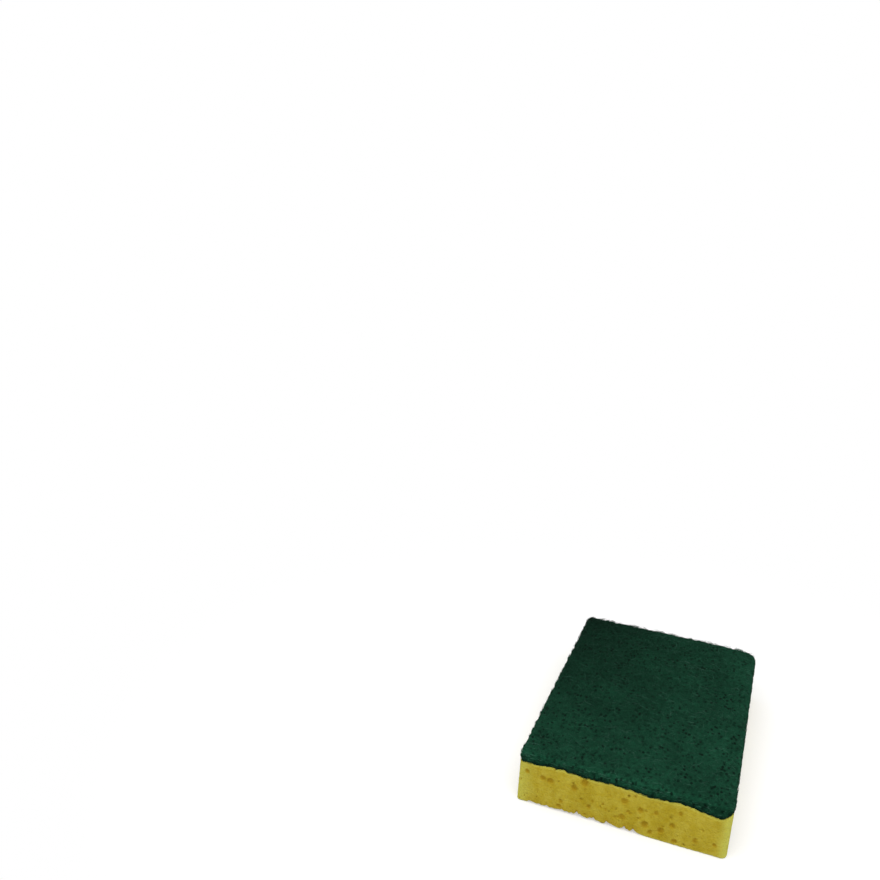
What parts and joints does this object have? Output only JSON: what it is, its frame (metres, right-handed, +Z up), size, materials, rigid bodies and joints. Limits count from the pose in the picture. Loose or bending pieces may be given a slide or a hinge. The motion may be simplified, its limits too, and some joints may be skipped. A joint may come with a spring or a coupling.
{
  "type": "cleaning sponge",
  "caption": "Rectangular foam cleaning sponge with a scouring pad bonded to its upper face, for washing and scrubbing by hand.",
  "frame": {"origin": "centre of the underside, on the surface that the sponge rests on", "axes": "+Z up out of the scouring pad's face, +Y along the sponge's length, +X across its width"},
  "size_m": [0.1, 0.15, 0.0283],
  "materials": {
    "foam": "matte open-cell foam, pitted on its cut faces",
    "scouring_fibre": "matte, rough felted fibre with abrasive binder"
  },
  "bodies": {
    "root": {"foam_block": "foam", "scouring_pad": "scouring_fibre"}
  },
  "joints": []
}
